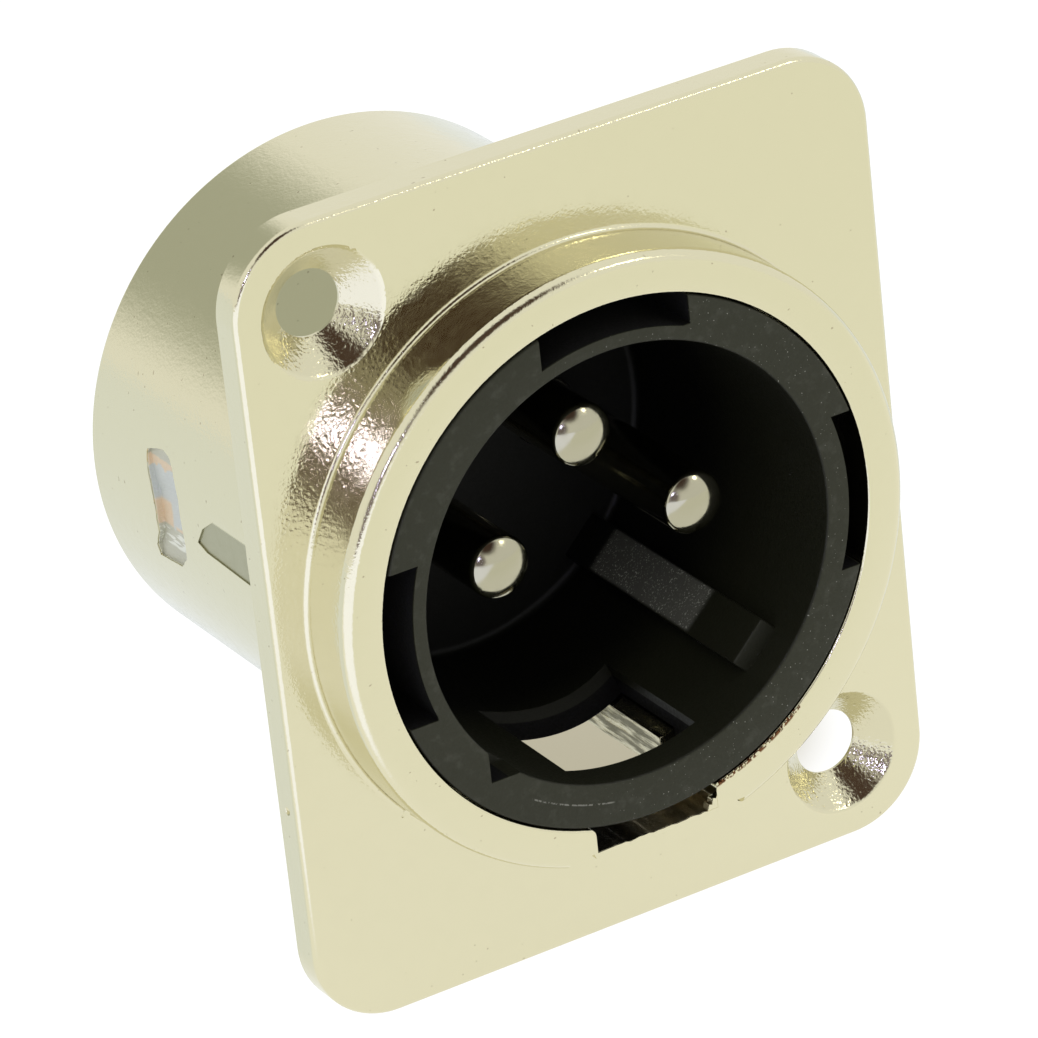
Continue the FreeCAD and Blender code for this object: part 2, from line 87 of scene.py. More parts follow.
class HousingSizes(bpy.types.PropertyGroup):
    flange_width: length("Flange Width", "Flange, side to side", 26.0)
    flange_height: length("Flange Height", "Flange, bottom to top", 31.0)
    flange_thickness: length("Flange Thickness", "Flange, front to rear", 1.25)
    flange_corner: length("Flange Corner", "Radius of the flange's corners", 3.2)
    flange_edge: length("Flange Edge", "Rounding of the flange's front edge", 0.22)
    collar_radius: length("Collar Radius", "Outside of the raised collar", 11.62)
    collar_height: length("Collar Height", "Collar above the flange", 2.6)
    collar_edge: length("Collar Edge", "Rounding of the collar's front edge", 0.45)
    collar_root: length("Collar Root", "Fillet where the collar meets the flange", 0.2)
    mouth_radius: length("Mouth Radius", "Front bore that seats the insert", 10.05)
    mouth_depth: length("Mouth Depth", "Depth of the front bore", 3.0)
    tube_radius: length("Body Radius", "Outside of the body behind the flange", 10.55)
    tube_bore: length("Body Bore", "Radius of the body's bore", 9.2)
    tube_length: length("Body Length", "Body behind the seating face", 16.65)
    tube_edge: length("Body Edge", "Rounding of the body's rear edge", 0.15)
    lock_radius: length("Lock Radius", "Radius of the rear bore", 9.8)
    lock_depth: length("Lock Depth", "Depth of the rear bore", 1.6)
    screw_inset: length("Screw Inset", "Screw hole to the flange's edges", 3.5)
    screw_radius: length("Screw Radius", "Radius of a screw hole", 1.25)
    countersink: length("Countersink", "Radius of a countersink at the flange's front", 2.35)
    notch_half: length("Notch Half Width", "Half the width of the latch notch", 2.55)
    notch_flat: length("Notch Flat", "Axis to the flat under the notch", 10.68)
    notch_round: length("Notch Round", "Rounding where the notch meets the mouth", 0.35)
    web: length("Web", "Thin web of metal under the notch", 0.22)
    relief_half: length("Relief Half Width", "Half the width of the latch relief", 3.7)
    relief_reach: length("Relief Reach", "Axis to the relief's lower side", 12.1)
    port_half: length("Port Half Width", "Half the width of the window in the body", 2.16)
    port_end: length("Port End", "Seating face to the window's rear end", 5.75)
    entry_half: length("Entry Half Width", "Half the width of an entry slot", 2.8)
    lip: length("Lip", "Small rounding of the casting's other edges", 0.12)


class InsertSizes(bpy.types.PropertyGroup):
    rim_radius: length("Rim Radius", "Outside of the insert's rim", 10.0)
    bore_radius: length("Bore Radius", "Inside of the cup", 8.3)
    cup_radius: length("Cup Radius", "Outside of the cup", 9.1)
    skirt_bore: length("Skirt Bore", "Inside of the rear skirt", 7.8)
    skirt_inset: length("Skirt Inset", "Body's rear end to the skirt's", 0.3)
    cup_depth: length("Cup Depth", "Mouth to the cup's floor", 12.9)
    floor_round: length("Floor Round", "Rounding where the wall meets the cup's floor", 0.3)
    base_thickness: length("Base Thickness", "Floor that holds the pins", 4.0)
    gap_half: length("Gap Half Width", "Half the width of a gap in the rim", 3.05)
    edge: length("Edge", "Rounding of the rim's and the key's edges", 0.12)
    key_half: length("Key Half Width", "Half the width of the polarising key", 0.965)
    key_height: length("Key Height", "Key above the cup's wall", 0.85)
    key_setback: length("Key Setback", "Mouth to the key's front end", 1.3)
    latch_half: length("Latch Half Width", "Half the width of the latch window", 2.75)
    latch_start: length("Latch Start", "Mouth to the latch window", 1.4)
    latch_length: length("Latch Length", "Latch window along the cup", 5.6)
    latch_slope: length("Latch Slope", "Lean of the window's rear wall", 0.9)
    lug_half: length("Lug Half Width", "Half the width of a bayonet lug", 2.5)
    lug_length: length("Lug Length", "Bayonet lug along the axis", 1.1)
    lug_reach: length("Lug Reach", "Axis to a bayonet lug's outside", 9.37)


class PinSizes(bpy.types.PropertyGroup):
    radius: length("Radius", "Radius of a contact pin", 1.2)
    circle: length("Circle", "Pin's axis to the bore's axis", 4.0)
    lean: length("Lean", "How far pin 1 stands off its place in the photograph", 0.3)
    setback: length("Setback", "Mouth to the pins' tips", 2.2)
    dome: length("Dome", "Height of the low dome on the tip", 0.46)
    dome_round: length("Dome Round", "Rounding between the dome and the side", 0.3)
    seat_radius: length("Seat Radius", "Pin inside the insert's floor", 1.3)
    shoulder_radius: length("Shoulder Radius", "Pin's shoulder", 1.8)
    shoulder_length: length("Shoulder Length", "Shoulder along the axis", 1.2)
    cup_radius: length("Cup Radius", "Outside of the solder cup", 1.5)
    cup_length: length("Cup Length", "Solder cup behind the base", 8.2)
    well_radius: length("Well Radius", "Inside of the solder cup", 1.05)
    well_depth: length("Well Depth", "Depth of the solder cup's well", 5.0)
    cutaway: length("Cutaway", "Length of the cup's open side", 4.0)
    edge: length("Edge", "Rounding of the shoulder's and the cup's edges", 0.08)


class Finishes(bpy.types.PropertyGroup):
    plating: colour("Plating", "Nickel plate on the casting", (0.705, 0.67, 0.47))
    plastic: colour("Plastic", "Black glass-filled moulding", (0.022, 0.023, 0.012))
    pin: colour("Pin", "Silver plate on the pins", (0.45, 0.43, 0.31))
    strip: colour("Strip", "Tinned brass of the ground contact", (0.74, 0.71, 0.60))


class StageSizes(bpy.types.PropertyGroup):
    floor_drop: length("Floor Drop", "Origin to the floor below", 15.6)
    floor_half: length("Floor Half Width", "Half the width of the floor", 1500.0)
    camera_place: FloatVectorProperty(
        name="Camera Place", description="Where the photograph was taken from",
        default=(-0.1181082, -0.2138596, 0.1200889), size=3, subtype="TRANSLATION"
    )
    camera_turn: FloatVectorProperty(
        name="Camera Turn", description="How the photograph's camera is turned",
        default=(1.1134908, 0.1000757, -0.5459555), size=3, subtype="EULER"
    )
    lens: FloatProperty(
        name="Lens", description="Focal length of the camera", default=265.093, unit="CAMERA"
    )


def wanted(name):
    """A property group of this add-on."""
    return getattr(bpy.context.scene, "socket_" + name)


def mouth_place():
    """Where the collar's front face lies along Y."""
    size = wanted("housing")
    return -size.flange_thickness - size.collar_height


def screw_places():
    """X and Z of the screw holes, upper left and lower right."""
    size = wanted("housing")
    aside = size.flange_width / 2 - size.screw_inset
    above = size.flange_height / 2 - size.screw_inset
    return [(-aside, above), (aside, -above)]


def pin_places():
    """X and Z of pins 1, 2 and 3, which stand a little off their nominal places."""
    size = wanted("pins")
    circle, lean = size.circle, size.lean
    return [(circle + lean, 0), (-circle + lean * 0.7, lean * 0.7), (lean * 0.25, circle + lean * 0.35)]


# Modelling helpers


def pick(obj):
    """Make one object the only selected one and the active one."""
    if bpy.context.mode != "OBJECT":
        bpy.ops.object.mode_set(mode="OBJECT")
    bpy.ops.object.select_all(action="DESELECT")
    if obj is not None:
        obj.select_set(True)
        bpy.context.view_layer.objects.active = obj


def added(name):
    """Name the primitive that was just added."""
    obj = bpy.context.object
    obj.name = name
    obj.data.name = name
    return obj


def edit_all():
    """Go into edit mode with everything selected."""
    bpy.ops.object.mode_set(mode="EDIT")
    bpy.ops.mesh.select_mode(type="VERT")
    bpy.ops.mesh.select_all(action="SELECT")


def closed():
    """Point the faces outwards and leave edit mode."""
    bpy.ops.mesh.select_all(action="SELECT")
    bpy.ops.mesh.normals_make_consistent(inside=False)
    bpy.ops.object.mode_set(mode="OBJECT")


def millimetres(points):
    """Points given in millimetres, in metres."""
    return [tuple(value * MM for value in point) for point in points]


def arc(centre, radius, start, end, steps=5):
    """Points of an arc in the plane of radius and Y, with the angles in degrees."""
    points = []
    for i in range(steps + 1):
        angle = math.radians(start + (end - start) * i / steps)
        points.append((centre[0] + radius * math.cos(angle), centre[1] + radius * math.sin(angle)))
    return points


def wire(name, points):
    """Edges drawn from point to point, left selected in edit mode."""
    pick(None)
    bpy.ops.mesh.primitive_plane_add(size=MM)
    obj = added(name)
    edit_all()
    bpy.ops.mesh.merge(type="CENTER")
    bpy.ops.transform.translate(value=points[0])
    for here, there in zip(points, points[1:]):
        step = [after - before for before, after in zip(here, there)]
        bpy.ops.mesh.extrude_vertices_move(TRANSFORM_OT_translate={"value": step})
    bpy.ops.mesh.select_all(action="SELECT")
    return obj


def turned(name, stations, steps=LATHE_STEPS):
    """Turn a section of (radius, y) points about the Y axis, as on a lathe."""
    obj = wire(name, [(radius, y, 0) for radius, y in stations])
    bpy.ops.mesh.spin(steps=steps, angle=math.tau, center=(0, 0, 0), axis=(0, 1, 0))
    bpy.ops.mesh.select_all(action="SELECT")
    bpy.ops.mesh.remove_doubles(threshold=MERGE_DISTANCE)
    closed()
    return obj


def prism(name, outline, low, high, axis="Y"):
    """An outline of (x, z) points extruded along Y, or one of (y, z) points along X."""
    if axis == "Y":
        obj = wire(name, [(x, low, z) for x, z in outline])
        step = (0, high - low, 0)
    else:
        obj = wire(name, [(low, y, z) for y, z in outline])
        step = (high - low, 0, 0)
    bpy.ops.mesh.edge_face_add()
    bpy.ops.mesh.extrude_region_move(TRANSFORM_OT_translate={"value": step})
    closed()
    return obj


def block(name, low, high, turn=0.0, edge=0.0):
    """A box between two corners, turned about the Y axis, with its edges rounded."""
    pick(None)
    low, high = Vector(low), Vector(high)
    centre = Matrix.Rotation(turn, 3, "Y") @ ((low + high) / 2)
    bpy.ops.mesh.primitive_cube_add(size=1, scale=high - low, location=centre, rotation=(0, turn, 0))
    obj = added(name)
    bpy.ops.object.transform_apply(location=True, rotation=True, scale=True)
    if edge:
        edit_all()
        bpy.ops.mesh.bevel(offset=edge, segments=2, affect="EDGES")
        bpy.ops.object.mode_set(mode="OBJECT")
    return obj


def combined(obj, tool, operation):
    """Cut a tool out of a piece, add it or keep what both share, and use the tool up."""
    modifier = obj.modifiers.new(operation.lower(), "BOOLEAN")
    modifier.object = tool
    modifier.operation = operation
    modifier.solver = "MANIFOLD"
    pick(obj)
    before = len(obj.data.vertices)
    bpy.ops.object.modifier_apply(modifier=modifier.name)
    uncut = operation == "DIFFERENCE" and len(obj.data.vertices) == before
    if uncut or not obj.data.polygons:
        raise RuntimeError("the boolean with %s did nothing to %s" % (tool.name, obj.name))
    bpy.data.objects.remove(tool)
    return obj


def cut(obj, tool):
    """Cut a tool out of a piece."""
    return combined(obj, tool, "DIFFERENCE")


def fused(obj, tool):
    """Add a shape to a piece."""
    return combined(obj, tool, "UNION")


def broken_edges(obj, width, angle=35):
    """Round the edges that are sharper than an angle in degrees."""
    modifier = obj.modifiers.new("edges", "BEVEL")
    modifier.width = width
    modifier.segments = 2
    modifier.limit_method = "ANGLE"
    modifier.angle_limit = math.radians(angle)
    modifier.use_clamp_overlap = False
    modifier.miter_outer = "MITER_ARC"
    pick(obj)
    bpy.ops.object.modifier_apply(modifier=modifier.name)
    return obj


def finished(obj, material, nodes):
    """Shade a piece, give it its finish, and put it in the place of its CAD nodes."""
    pick(obj)
    bpy.ops.object.shade_smooth_by_angle(angle=SMOOTH_ANGLE)
    modifier = obj.modifiers.new("normals", "WEIGHTED_NORMAL")
    modifier.keep_sharp = True
    bpy.ops.object.modifier_apply(modifier=modifier.name)
    obj.data.materials.clear()
    obj.data.materials.append(material)
    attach(obj, "root")
    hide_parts(*nodes)
    return obj


# Material helpers


class Signal:
    """An output socket that arithmetic can be done on."""

    def __init__(self, recipe, socket):
        self.recipe = recipe
        self.socket = socket

    def math(self, operation, *others):
        """A Math node on this signal and the others."""
        inputs = {i: value for i, value in enumerate((self, *others))}
        return self.recipe.node("ShaderNodeMath", {"operation": operation}, inputs)

    def __add__(self, other):
        return self.math("ADD", other)

    __radd__ = __add__

    def __sub__(self, other):
        return self.math("SUBTRACT", other)

    def __rsub__(self, other):
        return (self * -1) + other

    def __mul__(self, other):
        return self.math("MULTIPLY", other)

    __rmul__ = __mul__

    def output(self, name):
        """Another output of the same node."""
        return Signal(self.recipe, self.socket.node.outputs[name])


class Recipe:
    """A node tree that is written as expressions."""

    def __init__(self, tree):
        self.tree = tree
        tree.nodes.clear()

    def node(self, kind, settings=None, inputs=None, output=0):
        """Add a node with its settings and the values or links of its sockets."""
        made = self.tree.nodes.new(kind)
        for key, value in (settings or {}).items():
            setattr(made, key, value)
        for key, value in (inputs or {}).items():
            socket = made.inputs[key]
            if isinstance(value, Signal):
                self.tree.links.new(value.socket, socket)
            else:
                socket.default_value = value
        return Signal(self, made.outputs[output]) if len(made.outputs) else made

    def vector(self, operation, first, second):
        """A Vector Math node."""
        return self.node("ShaderNodeVectorMath", {"operation": operation}, {0: first, 1: second})

    def place(self):
        """The place on the object."""
        return self.node("ShaderNodeTexCoord").output("Object")

    def axes(self):
        """The three object coordinates."""
        parts = self.node("ShaderNodeSeparateXYZ", None, {"Vector": self.place()})
        return parts, parts.output("Y"), parts.output("Z")

    def distance(self, first, second):
        """The length of a line with these two sides."""
        return (first * first + second * second).math("SQRT")

    def window(self, value, low, high, to_low=0.0, to_high=1.0):
        """Map a value from one range to another, smoothly and held at its ends."""
        inputs = {"Value": value, "From Min": low, "From Max": high, "To Min": to_low, "To Max": to_high}
        return self.node("ShaderNodeMapRange", {"interpolation_type": "SMOOTHSTEP"}, inputs)

    def inside(self, value, low, high, soft=0.08):
        """1 between two places in millimetres, falling to 0 over a soft border inside them."""
        rise = self.window(value, low * MM, (low + soft) * MM)
        return rise * self.window(value, (high - soft) * MM, high * MM, 1.0, 0.0)

    def zone(self, *limits):
        """1 where all the values lie between their places, each with its limits as inside takes them."""
        whole = self.inside(*limits[0])
        for limit in limits[1:]:
            whole = whole * self.inside(*limit)
        return whole

    def noise(self, cell, detail=2.0, roughness=0.5, seed=0.0, stretch=None):
        """Noise with its cells' size in millimetres. The seed shifts it, and stretch scales the place."""
        where = self.place()
        if seed:
            where = self.vector("ADD", where, (seed, seed * 0.7, -seed))
        if stretch:
            where = self.vector("MULTIPLY", where, stretch)
        inputs = {"Vector": where, "Scale": 1.0 / (cell * MM), "Detail": detail, "Roughness": roughness}
        return self.node("ShaderNodeTexNoise", {"noise_dimensions": "3D"}, inputs)

    def dimples(self, cell):
        """0 at the middle of round hollows, rising to their rims. The cell is in millimetres."""
        inputs = {"Vector": self.place(), "Scale": 1.0 / (cell * MM), "Randomness": 0.85}
        near = self.node("ShaderNodeTexVoronoi", {"feature": "F1"}, inputs).output("Distance")
        near = near.math("MINIMUM", 0.42)
        return near * near

    def blend(self, factor, first, second):
        """Mix two colours. The node's colours are its inputs 6 and 7 and its output 2."""
        shades = [shade if isinstance(shade, Signal) else (*shade, 1) for shade in (first, second)]
        inputs = {0: factor, 6: shades[0], 7: shades[1]}
        return self.node("ShaderNodeMix", {"data_type": "RGBA"}, inputs, output=2)

    def bump(self, height, distance):
        """A normal that follows a height."""
        return self.node("ShaderNodeBump", None, {"Height": height, "Distance": distance, "Strength": 1.0})

    def surface(self, **inputs):
        """Close the tree with one shader. Underscores in the names stand for spaces."""
        named = {key.replace("_", " "): value for key, value in inputs.items()}
        shader = self.node("ShaderNodeBsdfPrincipled", None, named)
        self.node("ShaderNodeOutputMaterial", None, {"Surface": shader})


def new_recipe(name):
    """A new material and the recipe of its nodes."""
    material = bpy.data.materials.new(name)
    material.use_nodes = True
    return material, Recipe(material.node_tree)


# Finishes

SPECK = (0.30, 0.24, 0.15)
CHIPPED_LIP = (0.16, 0.07, 0.03)
EJECTOR_PAD = (0.42, 0.41, 0.275)
COUNTERSINK_SHADE = (0.30, 0.27, 0.20)
WEB_SHADE = (0.04, 0.03, 0.02)
WEB_LIGHT = (0.85, 0.72, 0.45)
PORT_HOLLOW_SHADE = (0.10, 0.09, 0.05)
PORT_RIDGE_LIT = (0.62, 0.58, 0.42)


def plated_casting():
    """Nickel plate on a casting: shiny, with a fine grain, chips at the mouth and the broken gate, and
    painted shade and light in the countersinks, on the web, in the port and along the gate's slit.
    """
    material, r = new_recipe("plated_casting")
    plating = tuple(wanted("finishes").plating)
    x, y, z = r.axes()
    radius = r.distance(x, z)
    grain = r.noise(0.12, 1.0)
    swell = r.noise(0.5, seed=0.31)
    cells = r.dimples(0.23)
    rough = r.noise(0.09, 3.0, 0.6, seed=0.9)
    ridges = r.noise(0.3, 3.0, 0.6, seed=0.2, stretch=(1, 0.12, 1))

    # The collar's root is coarse only at the upper left
    root = r.zone((radius, 11.5, 13.4, 0.5), (y, -3.6, -1.1, 0.3))
    root = root * r.window(x, -6.2 * MM, -7.4 * MM) * r.window(z, 1.0 * MM, 3.0 * MM)
    upper, lower = [r.distance(x - across, z - up) for across, up in screw_places()]
    rim = wanted("housing").countersink
    cones = r.window(upper.math("MINIMUM", lower), rim + 0.05 * MM, rim - 0.1 * MM)
    left = r.window(x, -9.0 * MM, -9.2 * MM)
    gate = r.zone((y, 9.8, 12.5), (z, -2.2, 2.7), (radius, 9.0, 10.5, 0.03)) * left
    pad = r.zone((y, 4.9, 8.9), (z, -0.6, 1.3), (radius, 10.2, 10.54, 0.01)) * left
    port = r.zone((y, -0.85, 5.8), (x, 2.08, 2.3, 0.03), (z, -12.0, -8.6))
    web = r.zone((z, -10.8, -10.3), (x, -2.6, 2.6, 0.03), (y, -3.82, -0.7, 0.03))
    lip = r.zone((radius, 9.9, 10.25), (y, -3.9, -3.5, 0.05), (x, 2.5, 6.4), (z, -10, -7.6))

    height = grain * (cones * 0.8 + 0.55)
    height = height + cells * (root + cones * 0.6) * 3.4 + swell * 0.7
    height = height + (gate * 2.0 + pad * 0.35 + web) * rough * 2.0
    height = height + port * (ridges * 7.0 + rough)

    specks = r.window(r.noise(0.16, 0.0, seed=0.53), 0.83, 0.86)
    base = r.blend(specks * 0.5, plating, SPECK)
    brown = r.window(r.noise(0.16, 1.0, seed=0.61), 0.48, 0.56)
    base = r.blend(lip * brown, base, CHIPPED_LIP)
    base = r.blend(pad, base, EJECTOR_PAD)
    # Painted shade: the countersinks tinted darker olive-brown
    base = r.blend(cones * 0.1, base, COUNTERSINK_SHADE)
    # Painted shade on the web's left and painted light on its right
    lit = r.window(x, -1.4 * MM, 0.4 * MM)
    base = r.blend(web * 0.9, base, r.blend(lit, WEB_SHADE, WEB_LIGHT))
    # Painted shade on the port's wall, darkest in the hollows, with painted light on the ridges
    raised = r.window(ridges, 0.42, 0.58)
    base = r.blend(port * 0.9, base, r.blend(raised, PORT_HOLLOW_SHADE, PORT_RIDGE_LIT))
    base = r.blend(gate, base, torn_gate(r, y, z, rough))

    roughness = r.window(swell, 0.3, 0.75, 0.11, 0.17) - root * 0.03
    roughness = roughness + gate * 0.42 + pad * 0.22 + port * 0.12 + web * 0.18
    r.surface(
        Base_Color=base, Metallic=1.0 - gate * 0.7, Roughness=roughness, Normal=r.bump(height, 0.012 * MM)
    )
    return material


TORN_GREY = (0.60, 0.60, 0.50)
TORN_COPPER = (0.80, 0.66, 0.49)
TORN_BLOB = (0.66, 0.69, 0.67)
TORN_LINE = (0.85, 0.86, 0.78)
SLIT_SHADOW = (0.012, 0.011, 0.008)


def torn_gate(r, y, z, rough):
    """Torn metal where the gate broke off: a copper middle, a pale blob and bright lines, with painted
    shadow along the slit.
    """
    torn = r.blend(r.inside(z, -0.7, 2.05, 0.1), TORN_GREY, TORN_COPPER)
    patches = r.window(r.noise(0.7, 2.0, 0.55, seed=0.12), 0.45, 0.58)
    corner = r.window(y, 11.15 * MM, 11.35 * MM) * r.window(z, 0.45 * MM, 0.25 * MM)
    blob = r.inside(z + patches * 0.2 * MM, -0.6, 1.8, 0.12) * (1.0 - corner)
    torn = r.blend(blob, torn, TORN_BLOB)
    lines = r.window(r.noise(0.12, 1.0, seed=0.77, stretch=(1, 0.2, 1)), 0.52, 0.6)
    torn = r.blend(lines * r.inside(z, -1.5, -0.7, 0.1), torn, TORN_LINE)
    # Painted shadow along the slit in front of the stub
    edge = y - z * 0.236 - (rough - 0.5) * 0.6 * MM
    slit = r.window(edge, 10.27 * MM, 10.23 * MM) * r.inside(z, -1.0, 1.85, 0.05)
    return r.blend(slit, torn, SLIT_SHADOW)


GAP_SHADE = (0.001, 0.001, 0.001)
SCUFF_AND_LIGHT_GREY = (0.36, 0.36, 0.32)


def black_moulding():
    """Black glass-filled nylon: matt, with scratches and dust, and a painted lit patch with painted glints
    on the key.
    """
    material, r = new_recipe("black_moulding")
    plastic = wanted("finishes").plastic
    x, y, z = r.axes()
    radius = r.distance(x, z)
    grain = r.noise(0.10, 3.0, 0.65)
    mottle = r.noise(0.6, 3.0, 0.6, seed=0.5)
    border, soft = mouth_place() + 0.05 * MM, 0.04 * MM
    front = r.window(y, border, border - soft)
    gaps = r.inside(radius, 8.6, 9.96, 0.04) * r.window(y, border, border + soft)
    key = r.zone((radius, 7.2, 7.75, 0.05), (x + z, -1.5, 1.2, 0.2))
    key = key * r.window(x, 4.0 * MM, 4.3 * MM) * r.inside(y, 0.45, 7.5, 0.35)

    painted_glints = r.window(r.noise(0.07, 1.0, seed=0.33), 0.60, 0.68) * r.window(mottle, 0.35, 0.6)
    scratch = r.zone((radius, 9.03, 9.12, 0.03), (x, -5.0, -1.6, 0.2)) * 0.45
    broken = r.window(r.noise(0.12, 2.0, 0.6, seed=0.8), 0.45, 0.55)
    scratch = scratch * r.window(z, 0.0, -1 * MM) * broken
    dust = r.window(r.noise(0.07, 0.0, seed=0.4), 0.78, 0.82) * r.window(x, -3 * MM, 0.0)
    worn_front = front * (scratch + dust * 0.8 + r.window(mottle, 0.5, 0.75) * 0.05)
    # Painted light and painted glints on the key's deeper part, which join the front's scratches and dust
    # in one grey
    key_light_and_glints = key * (painted_glints * 0.9 + 0.22)
    scuff_and_light = (worn_front + key_light_and_glints).math("MINIMUM", 1.0)

    # Half as bright away from the front face, and painted shade deeper in the cup
    half_dark, deep_shade = [tuple(share * part for part in plastic) for share in (0.5, 0.12)]
    base = r.blend(1.0 - front, tuple(plastic), half_dark)
    base = r.blend(r.window(y, 1.5 * MM, 5 * MM), base, deep_shade)
    # Painted shade in the rim's gaps, just behind the front
    base = r.blend(gaps, base, GAP_SHADE)
    base = r.blend(scuff_and_light, base, SCUFF_AND_LIGHT_GREY)
    roughness = r.window(grain, 0.3, 0.7, 0.45, 0.6) + gaps * 0.35
    r.surface(
        Base_Color=base, Roughness=roughness, Specular_IOR_Level=0.28, Normal=r.bump(grain, 0.010 * MM)
    )
    return material


def plated_pin():
    """Bright silver plate on turned brass, faintly uneven."""
    material, r = new_recipe("plated_pin")
    silver = (*wanted("finishes").pin, 1)
    swell = r.noise(0.4)
    roughness = r.window(swell, 0.3, 0.7, 0.10, 0.18)
    r.surface(Base_Color=silver, Metallic=1.0, Roughness=roughness, Normal=r.bump(swell, 0.004 * MM))
    return material


STRIP_STAIN = (0.66, 0.60, 0.46)


def tinned_strip():
    """Tinned brass sheet, dull and slightly uneven."""
    material, r = new_recipe("tinned_strip")
    swell = r.noise(0.8, 3.0, 0.55)
    base = r.blend(r.window(swell, 0.35, 0.65), tuple(wanted("finishes").strip), STRIP_STAIN)
    roughness = r.window(swell, 0.3, 0.7, 0.22, 0.36)
    r.surface(Base_Color=base, Metallic=1.0, Roughness=roughness, Normal=r.bump(swell, 0.01 * MM))
    return material


FLOOR_PAINT = (0.9, 0.9, 0.88, 1)
FLOOR_WHITE = (1.14, 1.14, 1.14)
FLOOR_SHADOW = (0.50, 0.46, 0.33)
MIRRORED_NEAR = (1.12, 1.12, 1.11)
MIRRORED_AHEAD = (1.04, 1.045, 0.975)
MIRRORED_BEHIND = (0.95, 1.0, 1.06)
MIRRORED_LEFT = (1.38, 1.42, 1.75)
GLOW_SHARE = 0.86


def floor_white():
    """Pale paint that glows for the camera and in mirrors, with a faint real shadow and a painted shadow
    under the socket.
    """
    material, r = new_recipe("floor_white")
    path = r.node("ShaderNodeLightPath")
    mirrored = path.output("Is Glossy Ray")
    seen = path.output("Is Camera Ray") + mirrored + path.output("Is Transmission Ray")
    x, y, _ = r.axes()
    shown = r.blend(r.window(y, -2 * MM, -50 * MM), MIRRORED_NEAR, MIRRORED_AHEAD)
    shown = r.blend(r.window(y, -1 * MM, 6 * MM), shown, MIRRORED_BEHIND)
    far_left = r.window(x, -13 * MM, -20 * MM) * r.window(y, -5 * MM, -12 * MM)
    shown = r.blend(far_left, shown, MIRRORED_LEFT)
    light = r.blend(mirrored, FLOOR_WHITE, shown)
    # Painted shadow under the socket's body
    shadow = r.window(r.distance(x - 6.4 * MM, y - 11.6 * MM), 10 * MM, 5.5 * MM)
    light = r.blend(shadow, light, FLOOR_SHADOW)
    paint = r.node("ShaderNodeBsdfDiffuse", None, {"Color": FLOOR_PAINT})
    glow = r.node("ShaderNodeEmission", None, {"Color": light, "Strength": 1.0})
    share = seen.math("MINIMUM", 1.0) * GLOW_SHARE
    mixed = r.node("ShaderNodeMixShader", None, {0: share, 1: paint, 2: glow})
    r.node("ShaderNodeOutputMaterial", None, {"Surface": mixed})
    return material


# Stage

# What the plating mirrors of the room: direction, inner and outer angle in degrees, and colour
ROOM = {
    "dark front": ((-0.56, -0.79, 0.20), 10, 22, (0.26, 0.22, 0.24)),
    "dark ceiling": ((-0.10, -0.68, 0.73), 14, 30, (0.08, 0.05, 0.04)),
    "grey rear": ((-0.25, 0.82, 0.52), 13, 32, (0.50, 0.52, 0.46)),
    "violet lamp": ((-0.54, -0.79, 0.31), 1.6, 2.8, (22.0, 21.0, 40.0)),
    "warm lamp": ((0.53, -0.64, 0.56), 3, 4.5, (10.0, 9.6, 8.0)),
}
ROOM_WHITE = (1.0, 1.0, 1.0)
ROOM_LIGHT = (0.8, 0.8, 0.8)

# Lamps: place and width in metres, and watts
LAMPS = {
    "key": ((-0.25, -0.30, 0.42), 0.30, 0.5),
    "fill": ((0.40, -0.20, 0.25), 0.35, 0.25),
}


class SOCKET_OT_stage(bpy.types.Operator):
    """Set up the floor, the studio light and the photograph's camera"""

    bl_idname = "socket.stage"
    bl_label = "Stage"

    def execute(self, context):
        size = wanted("stage")
        pick(None)
        bpy.ops.mesh.primitive_plane_add(size=size.floor_half * 2, location=(0, 0, -size.floor_drop))
        floor = added("floor")
        bpy.ops.object.transform_apply(location=True, rotation=True, scale=True)
        floor.data.materials.append(floor_white())

        self.light_room(context)
        for name, (place, width, watts) in LAMPS.items():
            self.add_lamp(name, place, width, watts)

        bpy.ops.object.camera_add(location=size.camera_place, rotation=size.camera_turn)
        camera = bpy.context.object
        camera.name = "camera"
        camera.data.lens = size.lens
        camera.data.sensor_width = 36.0
        camera.data.clip_start = 0.01
        camera.data.clip_end = 10.0
        context.scene.camera = camera
        context.scene.view_settings.view_transform = "Standard"
        return {"FINISHED"}

    def light_room(self, context):
        """White to the camera, even light on the object, and the room's lamps and dark sides in mirrors."""
        world = bpy.data.worlds.new("studio")
        context.scene.world = world
        world.use_nodes = True
        r = Recipe(world.node_tree)
        direction = r.node("ShaderNodeTexCoord").output("Generated")
        mirrored = ROOM_WHITE
        for towards, inner, outer, shade in ROOM.values():
            unit = tuple(Vector(towards).normalized())
            along = r.vector("DOT_PRODUCT", direction, unit).output("Value")
            spot = r.window(along, math.cos(math.radians(outer)), math.cos(math.radians(inner)))
            mirrored = r.blend(spot, mirrored, shade)
        path = r.node("ShaderNodeLightPath")
        light = r.blend(path.output("Is Glossy Ray"), ROOM_LIGHT, mirrored)
        light = r.blend(path.output("Is Camera Ray"), light, ROOM_WHITE)
        back = r.node("ShaderNodeBackground", None, {"Color": light, "Strength": 1.0})
        r.node("ShaderNodeOutputWorld", None, {"Surface": back})

    def add_lamp(self, name, place, width, watts):
        """A round soft lamp that points at the origin and stays out of the mirrors."""
        turn = (-Vector(place)).to_track_quat("-Z", "Y").to_euler()
        bpy.ops.object.light_add(type="AREA", location=place, rotation=turn)
        lamp = bpy.context.object
        lamp.name = name
        lamp.data.shape = "DISK"
        lamp.data.size = width
        lamp.data.energy = watts
        lamp.visible_glossy = False


# Pieces


